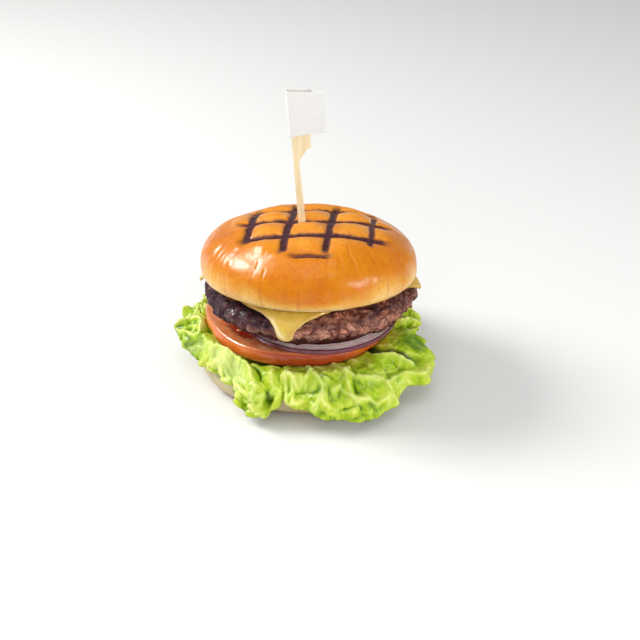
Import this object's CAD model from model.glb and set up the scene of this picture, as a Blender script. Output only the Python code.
# %% [markdown]
# This lesson dresses a grilled beef burger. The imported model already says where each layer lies, so every
# piece below is made in metres in that same frame, stands where its plain solid stands, and replaces it.

import math

import bmesh
import bpy
import numpy as np
from mathutils import Matrix, Vector


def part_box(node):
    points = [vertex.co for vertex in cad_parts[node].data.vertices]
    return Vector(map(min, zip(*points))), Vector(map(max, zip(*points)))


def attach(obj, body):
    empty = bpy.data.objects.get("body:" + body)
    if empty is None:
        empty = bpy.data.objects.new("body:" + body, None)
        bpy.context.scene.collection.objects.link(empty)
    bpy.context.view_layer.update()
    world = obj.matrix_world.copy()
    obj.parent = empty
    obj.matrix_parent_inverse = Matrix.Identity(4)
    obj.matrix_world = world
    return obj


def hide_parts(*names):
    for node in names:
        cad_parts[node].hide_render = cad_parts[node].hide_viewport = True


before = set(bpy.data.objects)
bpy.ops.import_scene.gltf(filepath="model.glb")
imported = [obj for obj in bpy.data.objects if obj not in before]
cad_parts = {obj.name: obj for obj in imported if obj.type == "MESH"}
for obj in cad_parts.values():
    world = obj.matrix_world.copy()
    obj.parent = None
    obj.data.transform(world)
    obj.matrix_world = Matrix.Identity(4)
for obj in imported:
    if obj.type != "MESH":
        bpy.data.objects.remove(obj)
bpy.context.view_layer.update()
print("plain solids:", sorted(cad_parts))

MM = 0.001
# The stack was modelled round its own axis and then centred on its footprint by this much
STACK_SHIFT = Vector((-0.03, 3.99, 0.0)) * MM

# %% [markdown]
# The camera comes first, because every later choice is judged through it. The burger is seen from the front
# and from about thirty-two degrees above. A long lens keeps the layers from spreading like a fan.

# %% Camera
PITCH = 32.5
CAMERA_AT = Vector((0.00797, -0.47841, 0.3291))
LENS, SENSOR_WIDTH = 65.0, 36.0


def in_scene(name, data):
    """A new object that holds this data, linked into the scene."""
    obj = bpy.data.objects.new(name, data)
    bpy.context.scene.collection.objects.link(obj)
    return obj


camera_data = bpy.data.cameras.new("camera")
camera_data.lens = LENS
camera_data.sensor_width = SENSOR_WIDTH
camera = in_scene("camera", camera_data)
camera.location = CAMERA_AT
camera.rotation_euler = (math.radians(90.0 - PITCH), 0.0, 0.0)
bpy.context.scene.camera = camera
print("camera", round(CAMERA_AT.length * 1000), "mm from the middle of the footprint")

# %% [markdown]
# Food is never even, so nearly every surface here is pushed about by noise. Two kinds are enough. Grain is
# smooth noise, made by blending slopes that belong to the corners of a lattice. Cells is the pattern of
# scattered seeds, each owning the space nearest to it: it gives crumbs in meat and blisters in a leaf. Both
# are written with arrays, so that a hundred thousand points take a moment, and both have fixed seeds.

# %% Noise on arrays of points
def smooth(low, high, value):
    t = np.clip((value - low) / (high - low), 0.0, 1.0)
    return t * t * (3.0 - 2.0 * t)


def lerp(a, b, t):
    return a + (b - a) * t


def lattice(cell, seed):
    """A steady number from 0 to 1 for each whole-number cell."""
    key = cell[..., 0] * 374761393 + cell[..., 1] * 668265263 + cell[..., 2] * 1440662683 + seed * 974711
    key = key & 0x7FFFFFFF
    key = ((key ^ (key >> 13)) * 1274126177) & 0x7FFFFFFF
    key = ((key ^ (key >> 15)) * 1103515245) & 0x7FFFFFFF
    return ((key >> 7) & 0xFFFF) / 65535.0


def grain(place, size, seed):
    """Smooth noise, about -1 to 1, with features of this size, at an array of points."""
    scaled = np.asarray(place) / size + seed * 3.37
    base = np.floor(scaled).astype(np.int64)
    part = scaled - base
    fade = part**3 * (part * (part * 6.0 - 15.0) + 10.0)
    total = 0.0
    for corner in np.ndindex(2, 2, 2):
        cell = base + np.array(corner)
        slope = np.stack([lattice(cell, seed * 3 + k) for k in range(3)], -1) * 2.0 - 1.0
        weight = np.prod(np.where(corner, fade, 1.0 - fade), -1)
        total = total + weight * np.sum(slope * (part - np.array(corner)), -1)
    return np.clip(total * 1.7, -1.0, 1.0)


def swirl(place, size, seed):
    """Three grains at once, one for each direction, to bend a pattern with."""
    return np.stack([grain(place, size, seed + k) for k in range(3)], -1)


def cells(place, size, seed):
    """Distances to the nearest and second nearest seed, over the seed spacing, and the nearest seed's number."""
    scaled = np.asarray(place) / size
    base = np.floor(scaled).astype(np.int64)
    first = np.full(scaled.shape[:-1], 9.0)
    second = first.copy()
    label = np.zeros_like(first)
    for step in np.ndindex(3, 3, 3):
        cell = base + np.array(step) - 1
        seat = cell + np.stack([lattice(cell, seed * 5 + k) for k in range(3)], -1)
        gap = np.linalg.norm(scaled - seat, axis=-1)
        nearer = gap < first
        second = np.where(nearer, first, np.minimum(second, gap))
        label = np.where(nearer, lattice(cell, seed * 5 + 4), label)
        first = np.where(nearer, gap, first)
    return first, second, label


def pillows(place, size, seed, edge):
    """1 on the rounded face of each cell and 0 where two cells meet, and the number of the cell."""
    first, second, label = cells(place, size, seed)
    return smooth(0.0, edge, second - first), label


# %% [markdown]
# Most layers of a burger are turned shapes: a profile from the middle of the top, over the side, to the
# middle of the underside, spun round. Keeping the points as a grid of rings makes the surface normals easy,
# and the relief is then a push along them. A leaf, a slice of cheese and a piece of paper are sheets: two
# grids, an upper and a lower one, closed round the margin.

# %% Grids of points, and meshes from them
# A profile starts and ends this far from the axis, and a fan of triangles closes the rest
POLE_RADIUS = 0.4 * MM


def arc(centre_r, centre_z, half_width, half_height, start, end, steps):
    """Points (r, z) along part of an ellipse, from one angle to another in degrees."""
    turns = np.radians(np.linspace(start, end, steps + 1))
    return [(centre_r + half_width * math.cos(a), centre_z + half_height * math.sin(a)) for a in turns]


def resampled(points, steps_at):
    """The polyline of (r, z) points with a spacing that steps_at gives for each radius and height."""
    line = np.array(points, float)
    lengths = np.r_[0.0, np.cumsum(np.linalg.norm(np.diff(line, axis=0), axis=1))]
    stations = [0.0]
    while stations[-1] < lengths[-1]:
        r, z = (np.interp(stations[-1], lengths, line[:, k]) for k in (0, 1))
        stations.append(stations[-1] + steps_at(r, z))
    stations = np.array(stations) * lengths[-1] / stations[-1]
    return np.stack([np.interp(stations, lengths, line[:, k]) for k in (0, 1)], -1)


def spun(profile, segments):
    """The grid (ring, segment, xyz) of a profile that runs from the top centre to the bottom centre."""
    turn = np.linspace(0.0, 2.0 * math.pi, segments, endpoint=False)
    r, z = profile[:, 0, None], profile[:, 1, None]
    return np.stack([r * np.cos(turn), r * np.sin(turn), z + 0.0 * turn], -1)


def polar(points):
    """Distance from the layer's own axis, and direction round it in radians."""
    return np.hypot(points[..., 0], points[..., 1]), np.arctan2(points[..., 1], points[..., 0])


def swollen(grid, share):
    """The grid made wider or narrower by a share that may differ from point to point, with its heights kept."""
    return grid * np.stack([share, share, np.ones_like(share)], -1)


def outward(grid, closed=True):
    """Unit normals of a grid of points, whose second direction may close on itself."""
    down = np.gradient(grid, axis=0)
    along = np.roll(grid, -1, axis=1) - np.roll(grid, 1, axis=1) if closed else np.gradient(grid, axis=1)
    normal = np.cross(down, along)
    return normal / np.maximum(np.linalg.norm(normal, axis=-1, keepdims=True), 1e-12)


def frame_of(centre, tilt, roll=0.0):
    """Where a layer lies in the row frame. Tilt raises its front edge, then roll lowers its right edge."""
    lean = Matrix.Rotation(math.radians(roll), 4, "Y") @ Matrix.Rotation(math.radians(-tilt), 4, "X")
    return Matrix.Translation(STACK_SHIFT) @ Matrix.Translation(centre) @ lean


def moved(points, matrix):
    solid = np.array(matrix)
    return points @ solid[:3, :3].T + solid[:3, 3]


def kept_clear(grid, own, lower, height):
    """Lifts points of an underside until they clear the flat top of the layer that carries them."""
    above = moved(grid, lower.inverted() @ own)[..., 2]
    lifted = grid.copy()
    lifted[..., 2] += np.maximum(0.0, height - above)
    return lifted


def both_faces(middle, normal, over, under, matrix):
    """The upper and the lower grid of a sheet, this far over and under its middle, laid where the matrix says."""
    return moved(middle + normal * over, matrix), moved(middle - normal * under, matrix)


def object_from(name, points, faces, material, paints):
    """A smooth mesh object at the origin, with its paint masks stored as point attributes."""
    mesh = bpy.data.meshes.new(name)
    mesh.from_pydata(points.tolist(), [], faces)
    for label, values in paints.items():
        layer = mesh.attributes.new(label, "FLOAT", "POINT")
        layer.data.foreach_set("value", np.ascontiguousarray(values, dtype=np.float32))
    mesh.materials.append(material)
    mesh.shade_smooth()
    obj = in_scene(name, mesh)
    triangles = sum(len(face) - 2 for face in faces)
    print(f"{name}: {len(points)} points, {triangles} triangles")
    return obj


def turned_object(name, grid, material, **paints):
    """Rings joined by quads, with a fan of triangles to one point at each end."""
    rings, segments = grid.shape[:2]
    points = np.concatenate([grid.reshape(-1, 3), grid[0].mean(0)[None], grid[-1].mean(0)[None]])
    ids = np.arange(rings * segments).reshape(rings, segments)
    beside = np.roll(ids, -1, axis=1)
    faces = np.stack([ids[:-1], ids[1:], beside[1:], beside[:-1]], -1).reshape(-1, 4).tolist()
    top, bottom = rings * segments, rings * segments + 1
    faces += [(top, int(a), int(b)) for a, b in zip(ids[0], beside[0])]
    faces += [(bottom, int(b), int(a)) for a, b in zip(ids[-1], beside[-1])]
    full = {k: np.r_[v.reshape(-1), v[0].mean(), v[-1].mean()] for k, v in paints.items()}
    return object_from(name, points, faces, material, full)


def sheet_object(name, upper, lower, material, **paints):
    """Two grids of the same size, the upper one facing up, closed round the margin by a strip of quads."""
    rows, columns = upper.shape[:2]
    points = np.concatenate([upper.reshape(-1, 3), lower.reshape(-1, 3)])
    ids = np.arange(rows * columns).reshape(rows, columns)
    other = ids + rows * columns
    quads = np.stack([ids[:-1, :-1], ids[1:, :-1], ids[1:, 1:], ids[:-1, 1:]], -1).reshape(-1, 4)
    under = np.stack([other[:-1, :-1], other[:-1, 1:], other[1:, 1:], other[1:, :-1]], -1).reshape(-1, 4)
    loop = np.concatenate([ids[0, :-1], ids[:-1, -1], ids[-1, :0:-1], ids[:0:-1, 0]])
    after = np.roll(loop, -1)
    strip = np.stack([loop, after, after + rows * columns, loop + rows * columns], -1)
    faces = np.concatenate([quads, under, strip]).tolist()
    full = {k: np.r_[v.reshape(-1), v.reshape(-1)] for k, v in paints.items()}
    return object_from(name, points, faces, material, full)


# %% [markdown]
# Materials are built from nodes by a short helper. The effects that several foods share are node groups:
# Patches blends two colours in soft blotches, Relief gives the fine bump that meshes are too coarse for, and
# Wet film says where a surface is wet and how rough it is there. Each material places them with its own values.

# %% Node helper and shared shader groups
def tint(red, green, blue):
    """A colour read in everyday 0 to 255 values, as the shader wants it."""
    scaled = [v / 255.0 for v in (red, green, blue)]
    return tuple(v / 12.92 if v <= 0.04045 else ((v + 0.055) / 1.055) ** 2.4 for v in scaled) + (1.0,)


def put(tree, kind, props=None, **sockets):
    """Adds a node. A socket gets a plain value, or a link where another node's output is given."""
    made = tree.nodes.new(kind)
    for key, value in (props or {}).items():
        setattr(made, key, value)
    for key, value in sockets.items():
        target = made.inputs[int(key[1:])] if key[1:].isdigit() else made.inputs[key.replace("_", " ")]
        if isinstance(value, bpy.types.NodeSocket):
            tree.links.new(value, target)
        else:
            target.default_value = value
    return made


def new_group(name, inputs, outputs, kind="Shader"):
    """A node group, and the sockets inside it that carry its inputs and outputs. Each is (name, kind, value)."""
    tree = bpy.data.node_groups.new(name, kind + "NodeTree")
    for way, items in (("INPUT", inputs), ("OUTPUT", outputs)):
        for label, carries, *value in items:
            socket = tree.interface.new_socket(name=label, in_out=way, socket_type="NodeSocket" + carries)
            if value:
                socket.default_value = value[0]
    return tree, tree.nodes.new("NodeGroupInput").outputs, tree.nodes.new("NodeGroupOutput").inputs


def maths(tree, operation, first, second=0.0, clamp=False):
    props = {"operation": operation, "use_clamp": clamp}
    return put(tree, "ShaderNodeMath", props, i0=first, i1=second).outputs[0]


def blended(tree, share, first, second, mode="MIX"):
    props = {"data_type": "RGBA", "blend_type": mode}
    return put(tree, "ShaderNodeMix", props, i0=share, i6=first, i7=second).outputs[2]


def ranged(tree, value, low, high, to_low=0.0, to_high=1.0):
    return put(tree, "ShaderNodeMapRange", i0=value, i1=low, i2=high, i3=to_low, i4=to_high).outputs[0]


def cloud(tree, given, scale, **more):
    """Noise inside a group, from its Place input and the input that holds the scale."""
    return put(tree, "ShaderNodeTexNoise", Vector=given["Place"], Scale=given[scale], **more).outputs["Fac"]


patches, given, result = new_group(
    "Patches",
    [("Place", "Vector"), ("Scale", "Float", 60.0), ("Low", "Float", 0.4), ("High", "Float", 0.6),
     ("First", "Color"), ("Second", "Color")],
    [("Colour", "Color")],
)
mask = ranged(patches, cloud(patches, given, "Scale", Detail=4.0, Roughness=0.6), given["Low"], given["High"])
patches.links.new(blended(patches, mask, given["First"], given["Second"]), result["Colour"])

relief, given, result = new_group(
    "Relief",
    [("Place", "Vector"), ("Coarse scale", "Float", 200.0), ("Coarse depth", "Float", 0.0001),
     ("Fine scale", "Float", 900.0), ("Fine depth", "Float", 0.00003)],
    [("Normal", "Vector")],
)
coarse, fine = (maths(relief, "MULTIPLY", cloud(relief, given, size + " scale", Detail=3.0), given[size + " depth"])
                for size in ("Coarse", "Fine"))
bump = put(relief, "ShaderNodeBump", Strength=1.0, Distance=1.0, Height=maths(relief, "ADD", coarse, fine))
relief.links.new(bump.outputs["Normal"], result["Normal"])

wet_film, given, result = new_group(
    "Wet film",
    [("Place", "Vector"), ("Scale", "Float", 90.0), ("Low", "Float", 0.4), ("High", "Float", 0.6),
     ("Dry roughness", "Float", 0.5), ("Wet roughness", "Float", 0.15)],
    [("Wet", "Float"), ("Roughness", "Float")],
)
wet = ranged(wet_film, cloud(wet_film, given, "Scale", Detail=5.0, Roughness=0.65), given["Low"], given["High"])
rough = ranged(wet_film, wet, 0.0, 1.0, given["Dry roughness"], given["Wet roughness"])
wet_film.links.new(wet, result["Wet"])
wet_film.links.new(rough, result["Roughness"])


def new_material(name, **plain):
    """A material with its Principled shader. Values that are the same everywhere go on the shader itself."""
    made = bpy.data.materials.new(name)
    made.use_nodes = True
    tree = made.node_tree
    shader = tree.nodes["Principled BSDF"]
    for key, value in plain.items():
        shader.inputs[key.replace("_", " ")].default_value = value
    place = tree.nodes.new("ShaderNodeTexCoord").outputs["Object"]
    return made, tree, shader, place


def group_in(tree, group, **sockets):
    return put(tree, "ShaderNodeGroup", {"node_tree": group}, **sockets).outputs


def blotched(tree, place, scale, low, high, first, second):
    """Two colours in soft blotches."""
    return group_in(tree, patches, Place=place, Scale=scale, Low=low, High=high, First=tint(*first),
                    Second=tint(*second))["Colour"]


def bumpy(tree, place, coarse_scale, coarse_depth, fine_scale, fine_depth):
    """The normal of a fine relief of two sizes, with depths in metres."""
    return group_in(tree, relief, Place=place, Coarse_scale=coarse_scale, Coarse_depth=coarse_depth,
                    Fine_scale=fine_scale, Fine_depth=fine_depth)["Normal"]


def wetted(tree, place, scale, dry, wet, low=0.4, high=0.6):
    """Where the film is wet, and how rough the surface is there and where it is dry."""
    return group_in(tree, wet_film, Place=place, Scale=scale, Low=low, High=high, Dry_roughness=dry,
                    Wet_roughness=wet)


def coat(tree, film, dry, wet):
    """How strong the shader's clear coat is, from its dry to its wet places."""
    return ranged(tree, film["Wet"], 0.0, 1.0, dry, wet)


def painted(tree, name):
    return put(tree, "ShaderNodeAttribute", {"attribute_name": name}).outputs["Fac"]


def laid_over(tree, mask, below, above, mode="MIX"):
    """The colour below, with the one above laid on it where the mesh's paint says."""
    return blended(tree, painted(tree, mask), below, above, mode)


def ramp(tree, share, stops):
    made = tree.nodes.new("ShaderNodeValToRGB")
    tree.links.new(share, made.inputs[0])
    points = made.color_ramp.elements
    while len(points) < len(stops):
        points.new(1.0)
    for point, (at, colour) in zip(points, stops):
        point.position = at
        point.color = colour
    return made.outputs["Color"]


def finished(tree, shader, colour, normal, roughness, gloss=None):
    """Links what changes over the surface to the shader. Gloss is the strength of its clear coat."""
    tree.links.new(colour, shader.inputs["Base Color"])
    tree.links.new(normal, shader.inputs["Normal"])
    tree.links.new(roughness, shader.inputs["Roughness"])
    if gloss:
        tree.links.new(gloss, shader.inputs["Coat Weight"])


print("shader groups:", [tree.name for tree in (patches, relief, wet_film)])

# %% [markdown]
# The heel is the lower half of the bun. It hardly browned in the oven, so its crust is pale cream, a little
# warmer where it stood on the tray. The upper face is the cut crumb, which is open and matt.

# %% Heel
HEEL_RADIUS = 53.0 * MM
HEEL_HEIGHT = 18.5 * MM
HEEL_FOOT_RADIUS = 45.0 * MM
HEEL_CUT_RADIUS = 46.5 * MM
PORE_SIZE = 1.9 * MM

crumb, tree, shader, place = new_material(
    "pale_crumb", Specular_IOR_Level=0.3, Subsurface_Weight=0.08, Subsurface_Radius=(0.004, 0.002, 0.001))
skin = blotched(tree, place, 70.0, 0.35, 0.7, (196, 184, 146), (182, 160, 116))
foot = ramp(tree, painted(tree, "toast"), [(0.0, tint(255, 255, 255)), (1.0, tint(196, 140, 84))])
skin = blended(tree, 1.0, skin, foot, "MULTIPLY")
inside = blotched(tree, place, 420.0, 0.42, 0.6, (246, 232, 198), (224, 196, 142))
colour = laid_over(tree, "cut", skin, inside)
normal = bumpy(tree, place, 240.0, 0.00030, 1100.0, 0.00010)
film = wetted(tree, place, 120.0, 0.75, 0.5)
finished(tree, shader, colour, normal, film["Roughness"])

profile = [(POLE_RADIUS, HEEL_HEIGHT)]
profile += arc(HEEL_CUT_RADIUS, HEEL_HEIGHT / 2, HEEL_RADIUS - HEEL_CUT_RADIUS, HEEL_HEIGHT / 2, 90, 0, 24)
profile += arc(HEEL_FOOT_RADIUS, HEEL_HEIGHT / 2, HEEL_RADIUS - HEEL_FOOT_RADIUS, HEEL_HEIGHT / 2, 0, -90, 24)[1:]
profile += [(POLE_RADIUS, 0.0)]
grid = spun(resampled(profile, lambda r, z: (0.55 if r > 40 * MM else 1.6) * MM), segments=360)
side = smooth(0.0, 3.0 * MM, grid[..., 2]) * smooth(0.0, 3.0 * MM, HEEL_HEIGHT - grid[..., 2])
swell = 1.0 + 0.016 * side * grain(grid, 30.0 * MM, 3)
normals = outward(grid)
wrinkle = grain(grid * (1.0, 1.0, 3.0), 7.0 * MM, 5) * 0.25 * MM + grain(grid, 2.6 * MM, 6) * 0.08 * MM
on_cut = smooth(HEEL_HEIGHT - 0.6 * MM, HEEL_HEIGHT - 0.1 * MM, grid[..., 2])
pores = cells(grid, PORE_SIZE, 8)[0]
pitted = -0.35 * MM * (1.0 - smooth(0.15, 0.42, pores)) * on_cut
grid = swollen(grid, swell)
grid = grid + normals * ((wrinkle * side) + pitted)[..., None]
toast = 1.0 - smooth(0.0, 4.5 * MM, grid[..., 2] + 1.2 * MM * grain(grid, 9.0 * MM, 4))
heel = turned_object("heel_crust", moved(grid, Matrix.Translation(STACK_SHIFT)), crumb, cut=on_cut, toast=toast)

# %% [markdown]
# A butterhead lettuce leaf is a thin sheet that lies flat under the tomato and spills over the bun. Three
# things make it look like lettuce. The margin is longer than the arc it runs along, so it throws itself into
# frills. Between the veins the leaf is blistered, which the cells pattern gives. And the veins and the base of
# the leaf are pale, while the blisters are green.

# %% Lettuce, its material
TOMATO_CENTRE = Vector((-2.3, 1.2, 25.8)) * MM
TOMATO_RADIUS = 45.8 * MM
TOMATO_HALF = 3.6 * MM
TOMATO_EDGE = 1.6 * MM
TOMATO_TILT = 2.0
TOMATO_LOBES = 6
LEAF_FLAT_RADIUS = 46.0 * MM
LEAF_INNER_RADIUS = 11.5 * MM
LEAF_SPILL = 24.0
# The share of a leaf that lies flat under the tomato, and the share that spills over the bun
LEAF_FLAT_SHARE, LEAF_SPILL_SHARE = 0.34, 0.66
# The margin's own noise is read along a circle of this radius in mm
LEAF_RIM_CIRCLE = 58.0
FOLD_SIZE = 13.0 * MM
CRUMPLE_SIZE = 8.5 * MM
CREASE_SIZE = 6.5 * MM
BLISTER_SIZE = 5.2 * MM
FACET_SIZE = 3.4 * MM

lettuce, tree, shader, place = new_material(
    "lettuce", Specular_IOR_Level=0.28, Subsurface_Weight=0.12, Subsurface_Scale=1.0, Coat_Roughness=0.25,
    Subsurface_Radius=(0.0018, 0.0025, 0.0006))
blade = ramp(tree, painted(tree, "green"), [
    (0.0, tint(226, 230, 118)), (0.28, tint(196, 211, 64)), (0.6, tint(168, 196, 24)), (1.0, tint(92, 130, 10))])
speck = blotched(tree, place, 260.0, 0.35, 0.7, (255, 255, 255), (214, 226, 176))
blade = blended(tree, 0.6, blade, speck, "MULTIPLY")
colour = laid_over(tree, "vein", blade, tint(226, 238, 150))
colour = laid_over(tree, "shade", colour, tint(34, 46, 8))
film = wetted(tree, place, 110.0, 0.5, 0.28)
normal = bumpy(tree, place, 420.0, 0.00022, 1500.0, 0.00006)
finished(tree, shader, colour, normal, film["Roughness"], maths(tree, "MULTIPLY", film["Wet"], 0.14))

# %% [markdown]
# A leaf is drawn by its margin: stations of direction, reach and height in mm, read off the photo. Between the
# flat part under the tomato and that margin the sheet bends in a smooth curve. Relief is then added to it along
# the way it faces: folds, creases, blisters, a ruffle that grows outwards, and a few crests and creases that are
# drawn as lines because they can be told apart in the photo. Whatever lies lower than its surroundings is painted
# a deeper green, which is how light and age leave it on a real leaf.

# %% Lettuce, the leaf as a ruffled sheet
LEFT_MARGIN = (
    (-100, 57, 12), (-104, 59, 9), (-107, 61, 5), (-112, 62, 5), (-117, 61, 5), (-123, 59, 9), (-128, 55, 14),
    (-141, 54, 14), (-155, 56, 13), (-168, 60, 14), (180, 62, 17), (168, 59, 21), (155, 56, 21), (140, 57, 17),
    (124, 54, 18), (104, 55, 15),
)
FRONT_MARGIN = (
    (-101, 58, 15), (-90, 60, 11), (-78, 65, 8), (-64, 68, 6), (-52, 67, 8),
    (-42, 66, 13), (-34, 71, 12), (-25, 69, 13), (-12, 61, 17),
)
RIGHT_MARGIN = (
    (-13, 55, 20), (2, 57, 16), (14, 55, 20), (28, 54, 18), (44, 56, 19), (60, 54, 17), (76, 56, 15), (102, 53, 17),
)


def in_order(margin):
    """The margin's directions made to run steadily past the half turn, lowest first."""
    run = [(angle % 360, reach, height) for angle, reach, height in margin]
    if max(a for a, _, _ in run) - min(a for a, _, _ in run) > 300:
        run = [(a + 360 if a < 180 else a, reach, height) for a, reach, height in run]
    return np.array(sorted(run), float)


def margin_at(stations, degrees):
    angles, reach, height = stations.T
    k = np.clip(np.searchsorted(angles, degrees) - 1, 0, len(angles) - 2)
    t = smooth(angles[k], angles[k + 1], degrees)
    return lerp(reach[k], reach[k + 1], t) * MM, lerp(height[k], height[k + 1], t) * MM


def bent(start, middle, end, t):
    """A curve from start to end that is drawn towards middle."""
    return (1 - t) ** 2 * start + 2 * t * (1 - t) * middle + t**2 * end


def ridged(place, size, seed):
    """Sharp winding crests, 0 to 1, as a crumpled sheet has."""
    return 1.0 - np.minimum(1.0, 2.2 * np.abs(grain(place, size, seed)))


def crumpled(place, size, seed, count=5):
    """Flat facets that meet in straight creases, about -1 to 1: a sum of triangle waves in steady directions."""
    total = 0.0
    for k in range(count):
        away = np.array([lattice(np.array([seed, k, part]), 11) for part in range(3)]) - 0.5
        phase = np.asarray(place) @ (away / np.linalg.norm(away)) / (size * (0.75 + 0.5 * k / count)) + 0.37 * k
        total = total + 1.0 - 4.0 * np.abs(phase - np.floor(phase) - 0.5)
    return total / math.sqrt(count)


def within(value, low, high, soft):
    """1 between low and high, with soft ends."""
    return smooth(low - soft, low + soft, value) * (1.0 - smooth(high - soft, high + soft, value))


def line_gap(degrees, outer, line):
    """Rough distance in mm from each point of a leaf to a line through (direction, share of the way out)."""
    at = np.stack([degrees, outer * LEAF_SPILL], -1)
    stations = np.array([(angle % 360.0, share * LEAF_SPILL) for angle, share in line])
    gap = np.full(degrees.shape, 1e3)
    for start, end in zip(stations[:-1], stations[1:]):
        step = end - start
        t = np.clip(((at - start) @ step) / (step @ step), 0.0, 1.0)
        gap = np.minimum(gap, np.linalg.norm(at - start - t[..., None] * step, axis=-1))
    return gap


def oval(degrees, outer, centre, half):
    """How far a point of a leaf is from the middle of a patch. It is 1 on the patch's rim."""
    return np.hypot((degrees - centre[0]) / half[0], (outer - centre[1]) / half[1])


def sunken(height, rounds):
    """How far each value of a grid lies below the average of its surroundings."""
    soft = height
    for _ in range(rounds):
        wide = np.pad(soft, 1, mode="edge")
        soft = (wide[:-2, 1:-1] + wide[2:, 1:-1] + wide[1:-1, :-2] + wide[1:-1, 2:]) / 4.0
    return soft - height


def leaf(margin, level, ruffle, frill, seed, lines=(), calm=None, columns=440):
    """A leaf's midsheet in stack coordinates, and the fields that its paint is made from.

    ruffle gives the waves in a whole turn and their height in mm, frill the same for the margin's small waves.
    Each of the lines is a crest or a crease: its height and half width in mm, and its course. calm gives a share
    by which the random relief is lessened, from the direction and the share of the way out.
    """
    stations = in_order(margin)
    first, last = stations[0, 0], stations[-1, 0]
    share = np.r_[np.linspace(0.0, 0.26, 8, endpoint=False),
                  np.linspace(0.26, LEAF_FLAT_SHARE, 14, endpoint=False), np.linspace(LEAF_FLAT_SHARE, 1.0, 60)]
    t, s = np.meshgrid(share, np.linspace(0.0, 1.0, columns), indexing="ij")
    degrees = lerp(first, last, s)
    turn = np.radians(degrees)
    reach, height = margin_at(stations, degrees)
    out = np.stack([np.cos(turn), np.sin(turn), 0 * t], -1)
    beside = np.stack([-np.sin(turn), np.cos(turn), 0 * t], -1)
    rim = out * LEAF_RIM_CIRCLE * MM
    reach = reach + 1.2 * MM * grain(rim, 5.0 * MM, seed + 1) + 0.7 * MM * grain(rim, 2.0 * MM, seed + 2)
    outer = np.maximum(0.0, (t - LEAF_FLAT_SHARE) / LEAF_SPILL_SHARE)
    bend_r, bend_z = lerp(LEAF_FLAT_RADIUS, reach, 0.78), level + 2.2 * MM
    flat = t <= LEAF_FLAT_SHARE
    r = np.where(flat, lerp(LEAF_INNER_RADIUS, LEAF_FLAT_RADIUS, t / LEAF_FLAT_SHARE),
                 bent(LEAF_FLAT_RADIUS, bend_r, reach, outer))
    z = np.where(flat, level, bent(level, bend_z, height, outer))
    spot = out * r[..., None]
    spot[..., 2] = z

    sheet = spot + swirl(spot, 12.0 * MM, seed + 3) * 2.5 * MM
    folds = ridged(sheet * (1.0, 1.0, 0.7), FOLD_SIZE, seed + 5)
    creases = ridged(sheet, CREASE_SIZE, seed + 6)
    pillow = pillows(sheet, BLISTER_SIZE, seed + 7, 0.45)[0]
    plan = spot - np.array(TOMATO_CENTRE)
    from_slice = np.hypot(plan[..., 0], plan[..., 1]) - TOMATO_RADIUS
    slice_under = TOMATO_CENTRE.z - TOMATO_HALF - plan[..., 1] * math.tan(math.radians(TOMATO_TILT))
    loose = smooth(-8.0 * MM, -2.0 * MM, from_slice)
    wave = np.sin(turn * ruffle[0] + seed + 1.3 * grain(sheet, 18.0 * MM, seed + 8))
    still = 1.0 - calm(degrees, outer) if calm else 1.0
    facets = ridged(sheet, FACET_SIZE, seed + 15)
    lift = loose * still * (2.8 * (folds - 0.35) + 1.0 * (creases - 0.45) + 0.4 * (pillow - 0.5)) * MM
    lift += loose * lerp(0.15, 1.0, still) * 0.95 * MM * crumpled(sheet, CRUMPLE_SIZE, seed + 16)
    lift += loose * lerp(0.6, 1.0, still) * 0.4 * MM * (facets - 0.45)
    lift += ruffle[1] * MM * wave * smooth(0.1, 0.8, outer)
    lift += loose * 0.14 * MM * grain(sheet, 1.8 * MM, seed + 9)
    crest, crease = np.zeros_like(outer), np.zeros_like(outer)
    wander = 0.8 * grain(sheet, 5.0 * MM, seed + 14)
    for high, half_width, line in lines:
        gap = np.abs(line_gap(degrees, outer, line) + wander)
        profile = np.exp(-gap / half_width)
        lift += high * MM * profile
        if high > 0.0:
            crest = np.maximum(crest, np.exp(-gap / 0.6))
        else:
            crease = np.maximum(crease, np.exp(-gap / 1.2))
    edge = smooth(0.5, 1.0, outer) ** 1.4
    phase = turn * frill[0] + 2.8 * grain(sheet, 17.0 * MM, seed + 10)
    strength = edge * frill[1] * MM * (0.75 + 0.5 * grain(rim, 14.0 * MM, seed + 11))
    lift += strength * np.sin(phase)
    sideways = -0.5 * strength * np.sin(2.0 * phase)
    # Near the slice the leaf follows its tilt
    lift += 1.15 * (slice_under - level) * smooth(-6.0 * MM, 0.0 * MM, from_slice) * (1.0 - smooth(0.15, 0.55, outer))

    droop = np.where(z < level, smooth(0.0, 10.0 * MM, level - z), 0.0)
    push = out * lerp(0.35, 1.0, droop)[..., None]
    push[..., 2] = lerp(1.0, 0.3, droop)
    push /= np.linalg.norm(push, axis=-1, keepdims=True)
    placed = spot + push * lift[..., None] + beside * sideways[..., None]
    # The leaf stays above the heel and below the tomato
    over_rim = np.clip((np.hypot(placed[..., 0], placed[..., 1]) - HEEL_CUT_RADIUS) / (7.5 * MM), 0.0, 1.0)
    lowest = np.where(over_rim < 0.98, HEEL_HEIGHT / 2 * (1.0 + np.sqrt(1.0 - over_rim**2)) + 0.7 * MM, 0.0)
    highest = slice_under - 0.6 * MM + 30.0 * MM * smooth(-1.4 * MM, 1.2 * MM, from_slice)
    placed[..., 2] = np.maximum(np.minimum(placed[..., 2], highest), lowest)
    hollow = np.clip(sunken(lift, 20) / (0.55 * MM), -1.0, 1.0) * lerp(0.3, 1.0, still)
    field = dict(outer=outer, folds=folds, creases=creases, sheet=sheet, seed=seed, degrees=degrees, push=push,
                 crest=crest, crease=crease, hollow=hollow)
    return placed, field


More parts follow.
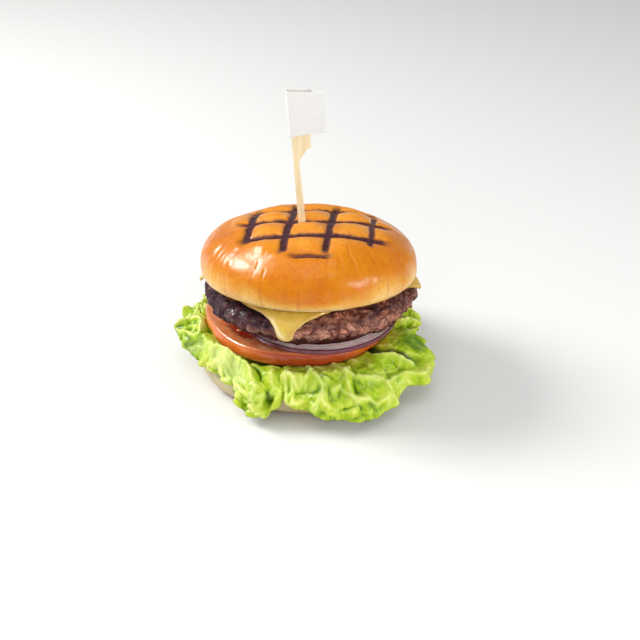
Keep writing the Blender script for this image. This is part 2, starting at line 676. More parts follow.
def leaf_object(name, spot, field):
    """Gives the sheet its thickness, thinner at the margin, and paints its greens and pale veins."""
    outer, sheet, seed, hollow = (field[key] for key in ("outer", "sheet", "seed", "hollow"))
    folds, creases = field["folds"], field["creases"]
    half = (lerp(0.40, 0.16, smooth(0.5, 1.0, outer)) * MM)[..., None]
    vein = 0.20 * smooth(0.75, 1.0, folds) + 0.15 * smooth(0.8, 1.0, creases) + 0.22 * smooth(0.35, 1.0, -hollow)
    vein = np.maximum(vein * (1.0 - 0.5 * smooth(0.7, 1.0, outer)), 0.55 * field["crest"])
    vein = np.maximum(vein, field.get("rib", 0.0))
    green = 0.46 + 0.34 * grain(sheet, 20.0 * MM, seed + 12) + 0.2 * grain(sheet, 6.0 * MM, seed + 13)
    green += 0.22 * (0.5 - folds) + 0.15 * (0.5 - creases) + 0.36 * field["crease"] + 0.4 * hollow
    green += field.get("deep", 0.0)
    faces = both_faces(spot, outward(spot, closed=False), half, half, Matrix.Translation(STACK_SHIFT))
    return sheet_object(name, *faces, lettuce, vein=np.clip(vein, 0.0, 1.0), green=np.clip(green, 0.0, 1.0),
                        shade=field.get("shade", np.zeros_like(outer)))


# %% [markdown]
# Three leaves go round the burger. The left one hangs low at its front end, as a stack of ripples that ends in a
# curled scoop. The front one spreads widest, to the lower right. The right one goes round the back, where it is
# finished in the same way, with random folds in place of drawn lines.

# %% Lettuce, the three leaves
# Crests and creases: height and half width in mm, then (direction in degrees, share of the way out)
LEFT_RIB = ((-164, 0.80), (-153, 0.40), (-147, 0.05))
LEFT_LINES = (
    (4.0, 3.2, ((-146, 0.45), (-142, 0.18), (-136, 0.06), (-128, 0.06), (-121, 0.14), (-117, 0.24), (-114, 0.42),
                (-112, 0.51))),
    (-4.2, 2.0, ((-124, 0.0), (-116, 0.05), (-111, 0.29))),
    (3.4, 0.9, ((-111, 0.50), (-113, 0.68), (-111, 0.88), (-107, 1.0))),
    (-5.0, 2.0, ((-107, 0.53), (-105, 0.78))),
    (-1.6, 1.2, ((-141, 0.96), (-136, 0.55), (-133, 0.80))),
    (1.4, 2.5, LEFT_RIB),
    (1.5, 1.6, ((-134, 0.62), (-128, 0.80), (-124, 0.70))),
    (2.0, 1.8, ((-172, 0.10), (-170, 0.55), (-176, 0.95))),
    (-1.8, 1.5, ((-166, 0.05), (-164, 0.45), (-168, 0.85))),
    (2.0, 1.8, ((172, 0.10), (168, 0.60), (172, 1.0))),
)
# The front leaf folds up beside the tomato and leaves a dark gap behind that crest
FRONT_GAP = ((-43, 0.0), (-37, 0.04), (-34, 0.14), (-33, 0.30), (-32, 0.46))
FRONT_LINES = (
    (-3.8, 1.6, FRONT_GAP),
    (2.6, 2.0, ((-72, 0.0), (-67, 0.20), (-63, 0.30), (-53, 0.48), (-52, 0.57), (-45, 0.66), (-39, 0.71),
                (-30, 0.83))),
    (1.5, 1.4, ((-52, 0.57), (-51, 0.73), (-50, 1.0))),
    (3.0, 2.2, ((-86, 0.10), (-81, 0.37), (-81, 0.53), (-86, 0.91))),
    (1.8, 1.5, ((-99, 0.05), (-92, 0.56), (-86, 0.12))),
    (2.2, 1.4, ((-87, 0.0), (-82, 0.19), (-78, 0.28))),
    (1.5, 1.1, ((-99, 0.09), (-97, 1.0))),
    (1.5, 1.1, ((-95, 0.31), (-94, 0.88))),
    (1.5, 1.3, ((-66, 0.64), (-62, 0.67), (-59, 0.81), (-54, 0.80))),
    (1.4, 1.4, ((-76, 0.46), (-73, 0.40), (-67, 0.67))),
    (2.6, 1.6, ((-47, 0.03), (-39, 0.23), (-35, 0.50))),
    (-1.2, 0.9, ((-66, 0.33), (-66, 0.54))),
    (-1.4, 0.9, ((-75, 0.85), (-67, 0.73), (-66, 0.80))),
    (-1.6, 1.0, ((-78, 0.42), (-78, 0.64))),
    (-2.2, 1.2, ((-56, 0.07), (-55, 0.24))),
    (-2.0, 1.2, ((-63, 0.02), (-64, 0.13))),
    (-0.9, 0.9, ((-48, 0.39), (-49, 0.54))),
    (-0.9, 0.9, ((-41, 0.37), (-41, 0.56))),
    (-1.8, 1.6, ((-93, 0.64), (-87, 0.55), (-82, 0.45))),
    (-2.4, 1.4, ((-88, 0.0), (-84, 0.03), (-81, 0.23))),
)

left_spot, left_field = leaf(LEFT_MARGIN, 19.6 * MM, (9.0, 1.2), (38.0, 2.0), 5, LEFT_LINES,
                             lambda d, o: 0.75 * within(d, 194.0, 214.0, 4.0) + 0.6 * within(d, 236.0, 262.0, 4.0),
                             columns=560)
# The front end of the left leaf hangs as a stack of ripples, and its last edge is a deep green scoop
RIPPLE_RATE, RIPPLE_HEIGHT = 21.0, 2.0
degrees, outer = left_field["degrees"], left_field["outer"]
ripple = within(degrees, 236.5, 250.5, 1.2) * smooth(0.35, 0.55, outer)
rolls = np.abs(np.sin(outer * RIPPLE_RATE))
left_spot += left_field["push"] * (ripple * RIPPLE_HEIGHT * MM * (rolls - 0.5))[..., None]
scoop = oval(degrees, outer, (255.0, 0.66), (4.2, 0.24))
left_field["deep"] = 0.06 + 0.42 * (1.0 - smooth(0.45, 1.04, scoop))
left_field["deep"] += 0.45 * ripple * (1.0 - smooth(0.0, 0.4, rolls))
pale_lobe = oval(degrees, outer, (228.0, 0.5), (17.0, 0.5))
left_field["rib"] = 0.6 * (1.0 - smooth(0.6, 1.1, pale_lobe))
left_field["rib"] = left_field["rib"] + 0.4 * np.exp(-line_gap(degrees, outer, LEFT_RIB) / 3.0)
front_spot, front_field = leaf(FRONT_MARGIN, 20.2 * MM, (7.0, 0.5), (19.0, 0.6), 9, FRONT_LINES,
                               lambda d, o: 0.45 + 0.42 * smooth(298.0, 308.0, d))
degrees, outer = front_field["degrees"], front_field["outer"]
front_field["shade"] = 0.92 * (1.0 - smooth(0.6, 2.6, line_gap(degrees, outer, FRONT_GAP)))
# Behind the gap the leaf is a deeper green, and the large lobe in front of it is lighter
behind_gap = within(degrees, 329.0, 352.0, 4.0) * (1.0 - smooth(0.45, 0.85, outer))
lobe = oval(degrees, outer, (303.0, 0.55), (9.0, 0.35))
front_field["deep"] = 0.26 * behind_gap - 0.22 * (1.0 - smooth(0.4, 1.1, lobe))
right_spot, right_field = leaf(RIGHT_MARGIN, 19.4 * MM, (8.0, 1.4), (28.0, 2.0), 14)
leaves = [
    leaf_object("leaf_left", left_spot, left_field),
    leaf_object("leaf_front", front_spot, front_field),
    leaf_object("leaf_right", right_spot, right_field),
]

# %% [markdown]
# The tomato slice shows three things: the thin glossy skin round its side, the paler wall of flesh behind it,
# and the seed chambers, where the gel has sunk a little. The chambers sit between radial walls, so their place
# comes from a wave round the slice.

# %% Tomato, its material and slice
tomato_skin, tree, shader, place = new_material(
    "tomato", Specular_IOR_Level=0.5, Subsurface_Weight=0.2, Coat_Roughness=0.08,
    Subsurface_Radius=(0.006, 0.0015, 0.0008))
flesh = blotched(tree, place, 160.0, 0.35, 0.65, (218, 110, 56), (232, 150, 94))
gel = blotched(tree, place, 300.0, 0.35, 0.65, (150, 24, 14), (196, 62, 26))
skin = blotched(tree, place, 45.0, 0.35, 0.65, (204, 84, 24), (222, 118, 42))
skin = laid_over(tree, "ripe", skin, tint(158, 46, 22))
colour = laid_over(tree, "gel", flesh, gel)
colour = laid_over(tree, "rim", colour, tint(214, 132, 80))
colour = laid_over(tree, "skin", colour, skin)
colour = laid_over(tree, "seed", colour, tint(236, 196, 120))
film = wetted(tree, place, 70.0, 0.38, 0.18, 0.3, 0.6)
normal = bumpy(tree, place, 180.0, 0.00012, 900.0, 0.00003)
finished(tree, shader, colour, normal, film["Roughness"], coat(tree, film, 0.3, 0.8))

face = TOMATO_RADIUS - TOMATO_EDGE
side = arc(face, 0.0, TOMATO_EDGE, TOMATO_HALF, 90, -90, 30)
profile = [(POLE_RADIUS, TOMATO_HALF)] + side + [(POLE_RADIUS, -TOMATO_HALF)]
grid = spun(resampled(profile, lambda r, z: (0.4 if r > 42 * MM else 0.8) * MM), segments=360)
radius, angle = polar(grid)
wave = np.cos(TOMATO_LOBES * (angle - math.radians(-142.0)) + 0.5 * np.sin(3.0 * angle))
swell = 1.0 + 0.008 * np.cos(TOMATO_LOBES * angle + 0.6) + 0.006 * np.cos(2 * angle + 1.0)
chamber = smooth(0.2, 0.42, radius / face) * (1.0 - smooth(0.84, 0.92, radius / face)) * smooth(-0.35, 0.3, wave)
top = smooth(0.8, 0.98, grid[..., 2] / TOMATO_HALF) - smooth(0.8, 0.98, -grid[..., 2] / TOMATO_HALF)
normals = outward(grid)
grid = swollen(grid, swell)
grid[..., 2] -= top * (1.1 * MM * chamber - 0.25 * MM * chamber * grain(grid, 3.0 * MM, 21))
grid = grid + normals * (0.16 * MM * grain(grid, 6.0 * MM, 22) + 0.05 * MM * grain(grid, 1.6 * MM, 23))[..., None]
skin_mask = smooth(TOMATO_RADIUS - 1.2 * MM, TOMATO_RADIUS - 0.5 * MM, radius)
rim_mask = 0.65 * np.exp(-(((radius - face) / (0.9 * MM)) ** 2)) * (top > 0.2)
ripe = 0.75 * within(np.degrees(angle), -112.0, -52.0, 14.0)
tomato_frame = frame_of(TOMATO_CENTRE, TOMATO_TILT)
tomato = turned_object("tomato_flesh", moved(grid, tomato_frame), tomato_skin,
                       gel=chamber * np.abs(top), skin=skin_mask, rim=rim_mask, ripe=ripe)

# %% [markdown]
# Seeds repeat, so they are scattered instead of modelled one by one. A Geometry Nodes tree has named inputs, and
# the helper below sets them by socket identifier on a modifier, then keeps the result as the piece's plain mesh.

# %% Helper that grows a piece with Geometry Nodes
def new_growth(name, inputs):
    mesh_socket = ("Geometry", "Geometry")
    return new_group(name, [mesh_socket] + inputs, [mesh_socket], "Geometry")


def grown(obj, tree, values):
    """Runs the tree on the object with these values and keeps the result as its plain mesh."""
    modifier = obj.modifiers.new(tree.name, "NODES")
    modifier.node_group = tree
    for item in tree.interface.items_tree:
        if item.in_out == "INPUT" and item.name in values:
            modifier[item.identifier] = values[item.name]
    bpy.context.view_layer.update()
    graph = bpy.context.evaluated_depsgraph_get()
    mesh = bpy.data.meshes.new_from_object(obj.evaluated_get(graph))
    obj.modifiers.remove(modifier)
    old = obj.data
    obj.data = mesh
    bpy.data.meshes.remove(old)
    print(f"{obj.name}: {len(mesh.polygons)} faces after {tree.name}")
    return obj


def scattered(tree, given, result, where, piece, paint=None):
    """Puts copies of a small piece on the faces, as densely as the paint says, and joins them to the mesh."""
    density = put(tree, "GeometryNodeInputNamedAttribute", {"data_type": "FLOAT"}, Name=where).outputs["Attribute"]
    spread = put(tree, "GeometryNodeDistributePointsOnFaces", {"distribute_method": "RANDOM"}, Mesh=given["Geometry"],
                 Density=maths(tree, "MULTIPLY", density, given["Density"]), Seed=given["Seed"])
    size = put(tree, "FunctionNodeRandomValue", {"data_type": "FLOAT"}, i2=given["Smallest"], i3=given["Largest"],
               Seed=given["Seed"])
    spin = put(tree, "FunctionNodeRandomValue", {"data_type": "FLOAT_VECTOR"}, i1=given["Turn"], Seed=given["Seed"])
    placed = put(tree, "GeometryNodeInstanceOnPoints", Points=spread.outputs["Points"], Instance=piece,
                 Rotation=spread.outputs["Rotation"], Scale=size.outputs[1])
    turned = put(tree, "GeometryNodeRotateInstances", Instances=placed.outputs[0], Rotation=spin.outputs[0])
    shape = put(tree, "GeometryNodeRealizeInstances", Geometry=turned.outputs[0]).outputs[0]
    if paint:
        kept = {"data_type": "FLOAT", "domain": "POINT"}
        shape = put(tree, "GeometryNodeStoreNamedAttribute", kept, Geometry=shape, Name=paint, Value=1.0).outputs[0]
    shaded = put(tree, "GeometryNodeSetShadeSmooth", Geometry=shape)
    joined = tree.nodes.new("GeometryNodeJoinGeometry")
    tree.links.new(given["Geometry"], joined.inputs[0])
    tree.links.new(shaded.outputs[0], joined.inputs[0])
    dressed = put(tree, "GeometryNodeSetMaterial", Geometry=joined.outputs[0], Material=given["Finish"])
    tree.links.new(dressed.outputs[0], result[0])


# About a whole turn, in radians
FULL_TURN = 6.28
SCATTER_INPUTS = [("Density", "Float", 20000.0), ("Smallest", "Float", 0.5), ("Largest", "Float", 1.2),
                  ("Turn", "Vector", (0.0, 0.0, FULL_TURN)), ("Seed", "Int", 3), ("Finish", "Material", None)]

# %% [markdown]
# A tomato seed is a flat drop about two millimetres long. The seeds lie in the gel, each turned its own way.

# %% Tomato, its seeds
seeds, given, result = new_growth("Scattered seeds", SCATTER_INPUTS)
ball = put(seeds, "GeometryNodeMeshIcoSphere", Radius=MM, Subdivisions=2)
drop = put(seeds, "GeometryNodeTransform", Geometry=ball.outputs["Mesh"], Scale=(1.0, 0.62, 0.38))
scattered(seeds, given, result, "gel", drop.outputs[0], "seed")
tomato = grown(tomato, seeds, {"Density": 52000.0, "Smallest": 0.8, "Largest": 1.15, "Turn": (0.0, 0.0, FULL_TURN),
                               "Seed": 4, "Finish": tomato_skin})

# %% [markdown]
# The onion ring is one rule all the way round: a rounded section swept along a slightly oval path. Geometry
# Nodes do that with two curves. Arrays then lay the faint layers on the cut face and lean it outwards, and paint
# the purple skin outside the white flesh.

# %% Onion ring, its material
ONION_CENTRE = Vector((7.5, -9.0, 31.7)) * MM
ONION_RADIUS = 36.8 * MM
ONION_WALL = 4.8 * MM
ONION_HALF = 1.5 * MM
ONION_OVAL = 0.02
onion_frame = frame_of(ONION_CENTRE, TOMATO_TILT)

onion_flesh, tree, shader, place = new_material(
    "red_onion", Specular_IOR_Level=0.5, Subsurface_Weight=0.15, Coat_Roughness=0.1,
    Subsurface_Radius=(0.004, 0.003, 0.003))
flesh = blotched(tree, place, 240.0, 0.35, 0.65, (255, 236, 228), (248, 208, 206))
flesh = laid_over(tree, "layer", flesh, tint(186, 104, 130))
skin = blotched(tree, place, 180.0, 0.3, 0.7, (124, 46, 70), (86, 26, 48))
colour = laid_over(tree, "skin", flesh, skin)
normal = bumpy(tree, place, 260.0, 0.0001, 1300.0, 0.00003)
film = wetted(tree, place, 90.0, 0.35, 0.15)
finished(tree, shader, colour, normal, film["Roughness"], coat(tree, film, 0.2, 0.7))

# %% [markdown]
# The tree below takes the ring's measures as named inputs. A circle is stretched into an oval, its normals are set
# upright so that the section does not twist, and a rounded rectangle runs along it.

# %% Onion ring, swept by nodes and finished by arrays
sweep, given, result = new_growth("Swept ring", [
    ("Radius", "Float", 0.036), ("Oval share", "Float", 0.02), ("Wall", "Float", 0.004),
    ("Thickness", "Float", 0.003), ("Corner", "Float", 0.0005), ("Steps", "Int", 420), ("Finish", "Material", None)])
path = put(sweep, "GeometryNodeCurvePrimitiveCircle", Resolution=given["Steps"], Radius=given["Radius"])
parts = put(sweep, "ShaderNodeSeparateXYZ", Vector=put(sweep, "GeometryNodeInputPosition").outputs[0]).outputs
wider = maths(sweep, "MULTIPLY", parts[0], given["Oval share"])
narrower = maths(sweep, "MULTIPLY", maths(sweep, "MULTIPLY", parts[1], given["Oval share"]), -1.0)
oval = put(sweep, "ShaderNodeCombineXYZ", X=wider, Y=narrower)
pressed = put(sweep, "GeometryNodeSetPosition", Geometry=path.outputs["Curve"], Offset=oval.outputs[0])
upright = put(sweep, "GeometryNodeSetCurveNormal", {"mode": "Z_UP"}, Curve=pressed.outputs[0])
section = put(sweep, "GeometryNodeCurvePrimitiveQuadrilateral", Width=given["Wall"], Height=given["Thickness"])
rounded = put(sweep, "GeometryNodeFilletCurve", {"mode": "POLY"}, Curve=section.outputs[0],
              Radius=given["Corner"], Count=4)
even = put(sweep, "GeometryNodeResampleCurve", Curve=rounded.outputs[0], Count=48)
tube = put(sweep, "GeometryNodeCurveToMesh", Curve=upright.outputs[0])
sweep.links.new(even.outputs[0], tube.inputs["Profile Curve"])
shaded = put(sweep, "GeometryNodeSetShadeSmooth", Geometry=tube.outputs[0])
real = put(sweep, "GeometryNodeRealizeInstances", Geometry=shaded.outputs[0])
dressed = put(sweep, "GeometryNodeSetMaterial", Geometry=real.outputs[0], Material=given["Finish"])
sweep.links.new(dressed.outputs[0], result[0])

onion = in_scene("onion_layers", bpy.data.meshes.new("onion_layers"))
grown(onion, sweep, {"Radius": ONION_RADIUS - ONION_WALL / 2, "Oval share": ONION_OVAL, "Wall": ONION_WALL,
                     "Thickness": 2 * ONION_HALF, "Corner": 0.5 * MM, "Steps": 420, "Finish": onion_flesh})
points = np.zeros(3 * len(onion.data.vertices))
onion.data.vertices.foreach_get("co", points)
points = points.reshape(-1, 3)
print("swept section, mm:", np.ptp(points, axis=0) * 1000)
radius, angle = polar(points)
path_radius = np.hypot(np.cos(angle) * (1.0 + ONION_OVAL), np.sin(angle) * (1.0 - ONION_OVAL))
path_radius = path_radius * (ONION_RADIUS - ONION_WALL / 2)
across = (radius - path_radius) / ONION_WALL + 0.5
on_top = smooth(0.5, 0.95, points[:, 2] / ONION_HALF)
layers = np.sin(across * 19.0 + 1.5 * grain(points, 9.0 * MM, 31))
points[:, 2] += on_top * (0.14 * MM * layers - 0.7 * MM * across) + 0.12 * MM * grain(points, 5.0 * MM, 32)
for label, values in (("skin", smooth(0.79, 0.87, across)), ("layer", 0.22 * on_top * smooth(0.5, 1.0, -layers))):
    onion.data.attributes.new(label, "FLOAT", "POINT").data.foreach_set("value", values.astype(np.float32))
onion.data.vertices.foreach_set("co", moved(points, onion_frame).reshape(-1))
build = bmesh.new()
build.from_mesh(onion.data)
bmesh.ops.recalc_face_normals(build, faces=build.faces[:])
build.to_mesh(onion.data)
build.free()

# %% [markdown]
# The patty is coarse mince. Its side is a heap of crumbs: cells give each crumb a rounded face and a dark
# crevice round it, at two sizes, on top of a slow wandering of the whole edge. The grill has charred the
# proud parts near the top edge and the left end, where the meat is smooth and wet instead of crumbly.

# %% Patty, its material
PATTY_CENTRE = Vector((3.5, -7.5, 43.9)) * MM
PATTY_RADIUS = 50.5 * MM
PATTY_HALF = 7.6 * MM
PATTY_WIDEST = 2.5 * MM
PATTY_TOP_RADIUS = 44.0 * MM
PATTY_KNEE = (47.2 * MM, -4.4 * MM)
PATTY_FOOT = (33.5 * MM, -13.5 * MM)
PATTY_REST_GAP = 0.9 * MM
PATTY_TILT = 6.0
CRUMB_SIZE = 4.4 * MM
SMALL_CRUMB_SIZE = 2.1 * MM
LUMP_SIZE = 7.5 * MM
patty_frame = frame_of(PATTY_CENTRE, PATTY_TILT)

beef, tree, shader, place = new_material("seared_beef", Specular_IOR_Level=0.2, Coat_Roughness=0.12)
meat = blotched(tree, place, 230.0, 0.36, 0.64, (134, 82, 68), (194, 142, 120))
meat = laid_over(tree, "crumb_tone", meat, tint(178, 132, 114), "OVERLAY")
meat = laid_over(tree, "pressed", meat, tint(112, 62, 60))
meat = laid_over(tree, "crevice", meat, tint(56, 8, 12))
char = blotched(tree, place, 500.0, 0.4, 0.6, (30, 12, 24), (66, 32, 46))
colour = laid_over(tree, "char", meat, char)
normal = bumpy(tree, place, 520.0, 0.0005, 1500.0, 0.00015)
film = wetted(tree, place, 330.0, 0.6, 0.2, 0.49, 0.6)
matt = maths(tree, "MAXIMUM", painted(tree, "char"), painted(tree, "crevice"))
rough = maths(tree, "MAXIMUM", film["Roughness"], maths(tree, "MULTIPLY", matt, 0.85))
gloss = maths(tree, "MULTIPLY", film["Wet"], ranged(tree, painted(tree, "crevice"), 0.0, 1.0, 0.8, 0.08))
finished(tree, shader, colour, normal, rough, gloss)

# %% [markdown]
# The body is a turned shape with a shoulder, a widest line above its middle and a long slope to its foot, since the
# patty leans on the onion. Crumbs come from cells of two sizes. The left end gets broader cells, which read as
# lumps of meat that were pressed smooth.

# %% Patty, its craggy body
shoulder = arc(PATTY_TOP_RADIUS, PATTY_WIDEST, PATTY_RADIUS - PATTY_TOP_RADIUS, PATTY_HALF - PATTY_WIDEST, 90, 0, 20)
knee = arc(PATTY_TOP_RADIUS, PATTY_WIDEST, PATTY_RADIUS - PATTY_TOP_RADIUS, PATTY_HALF, -8, -58, 10)
profile = [(0.5 * MM, PATTY_HALF)] + shoulder + knee + [PATTY_KNEE, PATTY_FOOT, (0.5 * MM, PATTY_FOOT[1])]
grid = spun(resampled(profile, lambda r, z: (0.42 if r > 37 * MM else 3.0) * MM), segments=620)
radius, angle = polar(grid)
out = grid * (1.0, 1.0, 0.0) / np.maximum(radius, MM)[..., None]
lean = smooth(PATTY_FOOT[0] * 0.9, PATTY_RADIUS, radius)
normals = outward(grid)
lump = 1.2 * grain(grid, 8.0 * MM, 41) + 0.8 * grain(grid, 4.0 * MM, 42)
angle = np.degrees(angle)
wet_end = within(angle, -168.0, -112.0, 7.0)
warped = grid + 1.1 * MM * swirl(grid, 3.5 * MM, 43)
big, big_label = pillows(warped, CRUMB_SIZE, 47, 0.42)
fine, fine_label = pillows(warped, SMALL_CRUMB_SIZE, 48, 0.42)
broad, broad_label = pillows(warped * (1.0, 1.0, 1.3), LUMP_SIZE, 55, 0.55)
height = 0.9 * MM * lump * lerp(0.3, 1.0, lean)
crumbly = 0.6 * MM * (big - 0.75) * lerp(0.3, 1.4, big_label) + 0.42 * MM * (fine - 0.7) * lerp(0.3, 1.3, fine_label)
crumbly += 0.50 * MM * grain(grid, 2.6 * MM, 49) + 0.28 * MM * grain(grid, 1.2 * MM, 50)
smeared = 0.9 * MM * (broad - 0.75) * lerp(0.4, 1.2, broad_label) + 0.6 * MM * grain(grid, 3.6 * MM, 56)
smeared += 0.22 * MM * grain(grid, 1.4 * MM, 57)
height += lerp(crumbly, smeared, wet_end)
height -= 1.0 * MM * smooth(-3.0 * MM, -6.0 * MM, grid[..., 2])
drift = 1.0 * MM * grain(out * 30.0 * MM, 22.0 * MM, 51) * lean
grid = grid + normals * height[..., None] + out * drift[..., None]
grid = kept_clear(grid, patty_frame, onion_frame, ONION_HALF + PATTY_REST_GAP)
gaps = (1.0 - smooth(0.0, 0.5, big)) * lerp(0.3, 1.0, big_label) + (1.0 - smooth(0.0, 0.5, fine)) * 0.55
smeared_gaps = 0.7 * (1.0 - smooth(0.0, 0.6, broad)) + 0.3 * (grain(grid, 3.6 * MM, 56) < 0.0)
crevice = np.clip(lerp(gaps, smeared_gaps, wet_end), 0.0, 1.0)
high = grid[..., 2]
burn_left = 1.0 - smooth(14.0, 36.0, np.abs((angle + 162.0 + 180.0) % 360.0 - 180.0))
burn_left = np.maximum(burn_left, 0.9 * within(angle, -170.0, -105.0, 8.0) * smooth(-1.5 * MM, 4.0 * MM, high))
burn_right = 0.6 * (1.0 - smooth(6.0, 22.0, np.abs(angle + 24.0))) * smooth(-0.1, 0.4, grain(grid, 6.0 * MM, 53))
burn_top = smooth(2.0 * MM, 6.5 * MM, high) * smooth(0.0, 0.4, grain(grid, 9.0 * MM, 52))
char = np.clip(burn_left + burn_top * 0.75 + burn_right, 0.0, 1.0)
char = np.clip(char * smooth(-0.9, 0.2, grain(grid, 3.0 * MM, 54) + 0.3), 0.0, 1.0)
side = smooth(38.0 * MM, 44.0 * MM, radius) * (1.0 - smooth(-1.5 * MM, -4.5 * MM, high))
side = side * (1.0 - 0.92 * wet_end) * (1.0 - 0.85 * char)
crevice = np.clip(crevice * 0.8 + smooth(0.5 * MM, -3.8 * MM, high), 0.0, 1.0)
patty = turned_object("patty_mince", moved(grid, patty_frame), beef, crevice=crevice, char=char,
                      crumb_tone=0.5 * big_label, side=side, pressed=0.6 * wet_end)

# %% [markdown]
# Loose crumbs then cling to the side. One small ball, made uneven by a noise texture, is placed thousands of times
# where the paint called side allows it, and each copy gets its own size and turn.

# %% Patty, its loose crumbs
crumbs, given, result = new_growth("Loose crumbs", SCATTER_INPUTS + [("Unevenness", "Float", 0.0005)])
ball = put(crumbs, "GeometryNodeMeshIcoSphere", Radius=MM, Subdivisions=2)
rough = put(crumbs, "ShaderNodeTexNoise", Scale=1100.0, Detail=1.0)
centred = put(crumbs, "ShaderNodeVectorMath", {"operation": "SUBTRACT"}, i0=rough.outputs["Color"],
              i1=(0.5, 0.5, 0.5))
shift = put(crumbs, "ShaderNodeVectorMath", {"operation": "SCALE"}, i0=centred.outputs[0], Scale=given["Unevenness"])
lumpy = put(crumbs, "GeometryNodeSetPosition", Geometry=ball.outputs["Mesh"], Offset=shift.outputs[0])
scattered(crumbs, given, result, "side", lumpy.outputs[0])
patty = grown(patty, crumbs, {"Density": 42000.0, "Smallest": 0.3, "Largest": 0.9, "Turn": (FULL_TURN,) * 3,
                              "Seed": 3, "Finish": beef})

# %% [markdown]
# The cheese is a square slice laid cornerwise, so one corner points at the viewer. It melted on the patty:
# it bends over the edge, its rim has gone round, and the front corner has run down in a tongue. The slice is a
# grid that is wrapped over the patty by distance, and its thickness shrinks to nothing along an ellipse at the
# rim.

# %% Cheese
CHEESE_HALF_DIAGONAL = 58.0 * MM
CHEESE_THICKNESS = 2.0 * MM
CHEESE_LIFT = 1.2 * MM
CHEESE_SHIFT = (-1.5 * MM, -2.5 * MM)
CHEESE_TURN = math.radians(-8.0)
CHEESE_BEND = 6.8 * MM
BUBBLE_SIZE = 3.4 * MM

melted, tree, shader, place = new_material(
    "melted_cheese", Specular_IOR_Level=0.45, Subsurface_Weight=0.3, Coat_Roughness=0.18,
    Subsurface_Radius=(0.006, 0.004, 0.0015))
body = blotched(tree, place, 110.0, 0.35, 0.65, (218, 190, 88), (206, 168, 66))
colour = laid_over(tree, "thin", body, tint(184, 140, 62))
colour = laid_over(tree, "streak", colour, tint(238, 226, 186))
normal = bumpy(tree, place, 300.0, 0.00012, 1200.0, 0.00003)
film = wetted(tree, place, 140.0, 0.42, 0.22)
finished(tree, shader, colour, normal, film["Roughness"], coat(tree, film, 0.1, 0.55))

CHEESE_CELLS = 190
u, v = np.meshgrid(np.linspace(-1.0, 1.0, CHEESE_CELLS), np.linspace(-1.0, 1.0, CHEESE_CELLS), indexing="ij")
round_off = 1.0 - 0.06 * (u * v) ** 2
x = (u - v) * 0.5 * CHEESE_HALF_DIAGONAL * round_off
y = (u + v) * 0.5 * CHEESE_HALF_DIAGONAL * round_off
# The front corner narrows fast and then ends in a round tongue, here as half widths in mm along the way ahead
corner = 0.94 * CHEESE_HALF_DIAGONAL
ahead = np.clip(-y / corner, 0.0, 1.0)
tongue = np.interp(ahead, (0.70, 0.78, 0.85, 0.90, 0.95), (16.4, 10.0, 5.6, 3.7, 3.1)) * MM
tongue = tongue * np.where(x > 0.0, np.interp(ahead, (0.70, 0.80, 0.88, 0.93), (1.0, 1.35, 1.3, 1.0)), 1.0)
tongue = tongue * np.sqrt(np.clip(1.0 - (np.maximum(0.0, ahead - 0.95) / 0.05) ** 2, 0.0, 1.0))
straight = np.maximum(corner * (1.0 - ahead), 0.02 * MM)
x = x * np.where(ahead > 0.7, tongue / straight, 1.0) - 2.8 * MM * smooth(0.15, 0.9, ahead)
front = smooth(0.25, 1.0, -y / CHEESE_HALF_DIAGONAL) * np.exp(-((x / (10.0 * MM)) ** 2))
y = y - 2.0 * MM * front
turned_x = x * math.cos(CHEESE_TURN) - y * math.sin(CHEESE_TURN) + CHEESE_SHIFT[0]
turned_y = x * math.sin(CHEESE_TURN) + y * math.cos(CHEESE_TURN) + CHEESE_SHIFT[1]
distance, heading = np.hypot(turned_x, turned_y), np.arctan2(turned_y, turned_x)


def over_patty(distance, lift):
    """Radius and height of a point this far from the patty's middle, measured over its edge."""
    start, quarter = PATTY_RADIUS + lift + 0.4 * MM - CHEESE_BEND, CHEESE_BEND * math.pi / 2
    a = np.clip((distance - start) / CHEESE_BEND, 0.0, math.pi / 2)
    beyond = np.maximum(0.0, distance - start - quarter)
    return (np.minimum(distance, start) + CHEESE_BEND * np.sin(a),
            PATTY_HALF + lift - CHEESE_BEND * (1.0 - np.cos(a)) - beyond)


r, z = over_patty(distance, CHEESE_LIFT)
middle = np.stack([r * np.cos(heading), r * np.sin(heading), z], -1)
up = outward(middle, closed=False)
rim = np.maximum(np.abs(u), np.abs(v))
edge_gap = (1.0 - rim) * CHEESE_HALF_DIAGONAL * 0.7
fullness = np.sqrt(np.clip(1.0 - (1.0 - np.clip(edge_gap / (1.3 * MM), 0.0, 1.0)) ** 2, 0.0, 1.0))
hang = smooth(46.0 * MM, 54.0 * MM, distance)
sag = 0.35 * MM * grain(middle, 7.0 * MM, 61) * hang
half = (CHEESE_THICKNESS / 2) * fullness * lerp(1.0, 1.15, front)
centre = middle + up * (CHEESE_THICKNESS / 2 + sag)[..., None]
bubble = cells(middle, BUBBLE_SIZE, 62)[0]
blister = 0.5 * MM * (1.0 - smooth(0.1, 0.34, bubble)) * hang * smooth(0.0, 0.3, grain(middle, 8.0 * MM, 63))
along_left = (1.0 + u) * CHEESE_HALF_DIAGONAL * 0.7
streak = np.exp(-(((along_left - 1.6 * MM) / (0.8 * MM)) ** 2))
streak = streak * within(distance, 50.0 * MM, 57.0 * MM, 1.5 * MM) * (y < 0)
faces = both_faces(centre, up, (half + blister)[..., None], half[..., None], patty_frame)
cheese = sheet_object("cheese_melt", *faces, melted, thin=0.6 * (1.0 - smooth(0.0, 3.0 * MM, edge_gap)),
                      streak=0.8 * streak)

